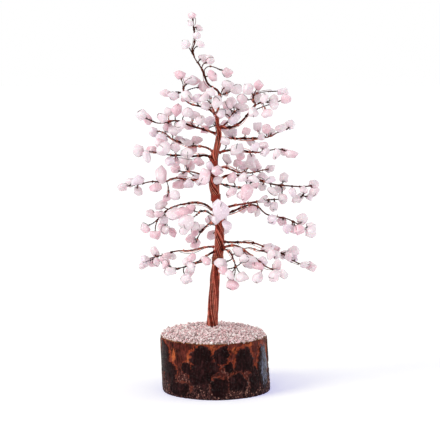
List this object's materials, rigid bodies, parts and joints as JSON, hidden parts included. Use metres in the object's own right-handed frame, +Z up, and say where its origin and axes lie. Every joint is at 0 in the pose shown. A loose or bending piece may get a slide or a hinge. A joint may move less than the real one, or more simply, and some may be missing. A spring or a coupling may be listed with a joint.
{
  "type": "gemstone tree ornament",
  "caption": "Small ornamental tree of twisted copper wire with drilled pink stones on its twigs, set in a varnished slice of log topped with crushed stone.",
  "frame": {"origin": "centre of the log's underside", "axes": "+Z up along the tree, the front of the tree faces -Y, +X to the right seen from the front"},
  "size_m": [0.1303, 0.0727, 0.2469],
  "materials": {
    "wood": "varnished end grain",
    "bark": "gloss varnish over bark",
    "glue": "clear set glue",
    "crushed_quartz": "broken, translucent",
    "copper": "twisted copper wire",
    "copper_band": "copper wire wound round",
    "copper_twig": "twisted copper wire, darkened",
    "rose_quartz": "tumbled, translucent"
  },
  "bodies": {
    "base_and_trunk": {"wood_core": "wood", "bark": "bark", "glue_bed": "glue", "crushed_stones": "crushed_quartz", "trunk": "copper", "trunk_windings": "copper_band"},
    "low_left": {"low_left_wire": "copper_twig", "low_left_stones": "rose_quartz"},
    "low_left_front": {"low_left_front_wire": "copper_twig", "low_left_front_stones": "rose_quartz"},
    "low_right_back": {"low_right_back_wire": "copper_twig", "low_right_back_stones": "rose_quartz"},
    "low_right_front": {"low_right_front_wire": "copper_twig", "low_right_front_stones": "rose_quartz"},
    "low_front": {"low_front_wire": "copper_twig", "low_front_stones": "rose_quartz"},
    "low_back": {"low_back_wire": "copper_twig", "low_back_stones": "rose_quartz"},
    "mid_left": {"mid_left_wire": "copper_twig", "mid_left_stones": "rose_quartz"},
    "mid_left_front": {"mid_left_front_wire": "copper_twig", "mid_left_front_stones": "rose_quartz"},
    "mid_right": {"mid_right_wire": "copper_twig", "mid_right_stones": "rose_quartz"},
    "mid_right_front": {"mid_right_front_wire": "copper_twig", "mid_right_front_stones": "rose_quartz"},
    "mid_front": {"mid_front_wire": "copper_twig", "mid_front_stones": "rose_quartz"},
    "wide_left": {"wide_left_wire": "copper_twig", "wide_left_stones": "rose_quartz"},
    "wide_left_back": {"wide_left_back_wire": "copper_twig", "wide_left_back_stones": "rose_quartz"},
    "wide_right": {"wide_right_wire": "copper_twig", "wide_right_stones": "rose_quartz"},
    "wide_right_front": {"wide_right_front_wire": "copper_twig", "wide_right_front_stones": "rose_quartz"},
    "wide_right_back": {"wide_right_back_wire": "copper_twig", "wide_right_back_stones": "rose_quartz"},
    "upper_front": {"upper_front_wire": "copper_twig", "upper_front_stones": "rose_quartz"},
    "upper_left": {"upper_left_wire": "copper_twig", "upper_left_stones": "rose_quartz"},
    "upper_left_back": {"upper_left_back_wire": "copper_twig", "upper_left_back_stones": "rose_quartz"},
    "upper_right": {"upper_right_wire": "copper_twig", "upper_right_stones": "rose_quartz"},
    "crown_right": {"crown_right_wire": "copper_twig", "crown_right_stones": "rose_quartz"},
    "crown_left": {"crown_left_wire": "copper_twig", "crown_left_stones": "rose_quartz"},
    "crown_back": {"crown_back_wire": "copper_twig", "crown_back_stones": "rose_quartz"},
    "top_right": {"top_right_wire": "copper_twig", "top_right_stones": "rose_quartz"},
    "top_left": {"top_left_wire": "copper_twig", "top_left_stones": "rose_quartz"},
    "top_front": {"top_front_wire": "copper_twig", "top_front_stones": "rose_quartz"},
    "leader": {"leader_wire": "copper_twig", "leader_stones": "rose_quartz"}
  },
  "joints": [
    {"name": "low_left_bend", "type": "hinge", "parent": "base_and_trunk", "child": "low_left", "pos_m": [-0.00142, 0.00042, 0.09425], "axis": [0.1913, 0.9815, 0], "range_deg": [-10, 10]},
    {"name": "low_left_front_bend", "type": "hinge", "parent": "base_and_trunk", "child": "low_left_front", "pos_m": [-0.0008, -0.0026, 0.09133], "axis": [-0.7705, 0.6374, 0], "range_deg": [-10, 10]},
    {"name": "low_right_back_bend", "type": "hinge", "parent": "base_and_trunk", "child": "low_right_back", "pos_m": [0.00685, 0.00135, 0.09717], "axis": [0.3792, -0.9253, 0], "range_deg": [-10, 10]},
    {"name": "low_right_front_bend", "type": "hinge", "parent": "base_and_trunk", "child": "low_right_front", "pos_m": [0.00625, -0.00203, 0.09425], "axis": [-0.6256, -0.7801, 0], "range_deg": [-10, 10]},
    {"name": "low_front_bend", "type": "hinge", "parent": "base_and_trunk", "child": "low_front", "pos_m": [0.00445, -0.00345, 0.0923], "axis": [-0.9584, -0.2855, 0], "range_deg": [-10, 10]},
    {"name": "low_back_bend", "type": "hinge", "parent": "base_and_trunk", "child": "low_back", "pos_m": [0.00116, 0.00369, 0.10985], "axis": [0.945, 0.3271, 0], "range_deg": [-10, 10]},
    {"name": "mid_left_bend", "type": "hinge", "parent": "base_and_trunk", "child": "mid_left", "pos_m": [-0.00247, 0, 0.11895], "axis": [0.0013, 1, 0], "range_deg": [-10, 10]},
    {"name": "mid_left_front_bend", "type": "hinge", "parent": "base_and_trunk", "child": "mid_left_front", "pos_m": [-0.00063, -0.00257, 0.1144], "axis": [-0.7459, 0.666, 0], "range_deg": [-10, 10]},
    {"name": "mid_right_bend", "type": "hinge", "parent": "base_and_trunk", "child": "mid_right", "pos_m": [0.00536, 0.00119, 0.11862], "axis": [0.3206, -0.9472, 0], "range_deg": [-10, 3]},
    {"name": "mid_right_front_bend", "type": "hinge", "parent": "base_and_trunk", "child": "mid_right_front", "pos_m": [0.00549, -0.00192, 0.1157], "axis": [-0.2757, -0.9612, 0], "range_deg": [-10, 10]},
    {"name": "mid_front_bend", "type": "hinge", "parent": "base_and_trunk", "child": "mid_front", "pos_m": [0.00292, -0.00358, 0.11505], "axis": [-0.9979, -0.0642, 0], "range_deg": [-10, 10]},
    {"name": "wide_left_bend", "type": "hinge", "parent": "base_and_trunk", "child": "wide_left", "pos_m": [-0.00467, -0.00045, 0.13845], "axis": [-0.1796, 0.9837, 0], "range_deg": [-10, 10]},
    {"name": "wide_left_back_bend", "type": "hinge", "parent": "base_and_trunk", "child": "wide_left_back", "pos_m": [-0.00295, 0.0027, 0.14333], "axis": [0.7899, 0.6132, 0], "range_deg": [-10, 5]},
    {"name": "wide_right_bend", "type": "hinge", "parent": "base_and_trunk", "child": "wide_right", "pos_m": [0.00347, 0.00059, 0.13845], "axis": [0.1163, -0.9932, 0], "range_deg": [-4, 10]},
    {"name": "wide_right_front_bend", "type": "hinge", "parent": "base_and_trunk", "child": "wide_right_front", "pos_m": [0.00232, -0.00253, 0.13585], "axis": [-0.7855, -0.6189, 0], "range_deg": [-10, 10]},
    {"name": "wide_right_back_bend", "type": "hinge", "parent": "base_and_trunk", "child": "wide_right_back", "pos_m": [0.00217, 0.0023, 0.14527], "axis": [0.6499, -0.76, 0], "range_deg": [-10, 10]},
    {"name": "upper_front_bend", "type": "hinge", "parent": "base_and_trunk", "child": "upper_front", "pos_m": [-0.00143, -0.00339, 0.14333], "axis": [-0.9999, 0.0113, 0], "range_deg": [-10, 10]},
    {"name": "upper_left_bend", "type": "hinge", "parent": "base_and_trunk", "child": "upper_left", "pos_m": [-0.00397, -0.00077, 0.1534], "axis": [-0.2715, 0.9624, 0], "range_deg": [-10, 10]},
    {"name": "upper_left_back_bend", "type": "hinge", "parent": "base_and_trunk", "child": "upper_left_back", "pos_m": [-0.00216, 0.00142, 0.15698], "axis": [0.4752, 0.8799, 0], "range_deg": [-8, 5]},
    {"name": "upper_right_bend", "type": "hinge", "parent": "base_and_trunk", "child": "upper_right", "pos_m": [0.00356, -0.00072, 0.156], "axis": [-0.2429, -0.9701, 0], "range_deg": [-10, 10]},
    {"name": "crown_right_bend", "type": "hinge", "parent": "base_and_trunk", "child": "crown_right", "pos_m": [0.00499, 0.00136, 0.1651], "axis": [0.3568, -0.9342, 0], "range_deg": [-10, 10]},
    {"name": "crown_left_bend", "type": "hinge", "parent": "base_and_trunk", "child": "crown_left", "pos_m": [-0.00041, 0, 0.16835], "axis": [-0.1559, 0.9878, 0], "range_deg": [-10, 6]},
    {"name": "crown_back_bend", "type": "hinge", "parent": "base_and_trunk", "child": "crown_back", "pos_m": [0.00237, 0.00263, 0.16608], "axis": [0.9995, 0.0301, 0], "range_deg": [-10, 10]},
    {"name": "top_right_bend", "type": "hinge", "parent": "base_and_trunk", "child": "top_right", "pos_m": [0.0046, -0.00111, 0.17225], "axis": [-0.0199, -0.9998, 0], "range_deg": [-10, 10]},
    {"name": "top_left_bend", "type": "hinge", "parent": "base_and_trunk", "child": "top_left", "pos_m": [-0.00071, 0, 0.18135], "axis": [-0.0096, 1, 0], "range_deg": [-10, 10]},
    {"name": "top_front_bend", "type": "hinge", "parent": "base_and_trunk", "child": "top_front", "pos_m": [0.00095, -0.00192, 0.1781], "axis": [-0.9831, 0.1833, 0], "range_deg": [-10, 10]},
    {"name": "leader_bend", "type": "hinge", "parent": "base_and_trunk", "child": "leader", "pos_m": [0.00228, 0, 0.18668], "axis": [0, 1, 0], "range_deg": [-10, 10]}
  ]
}
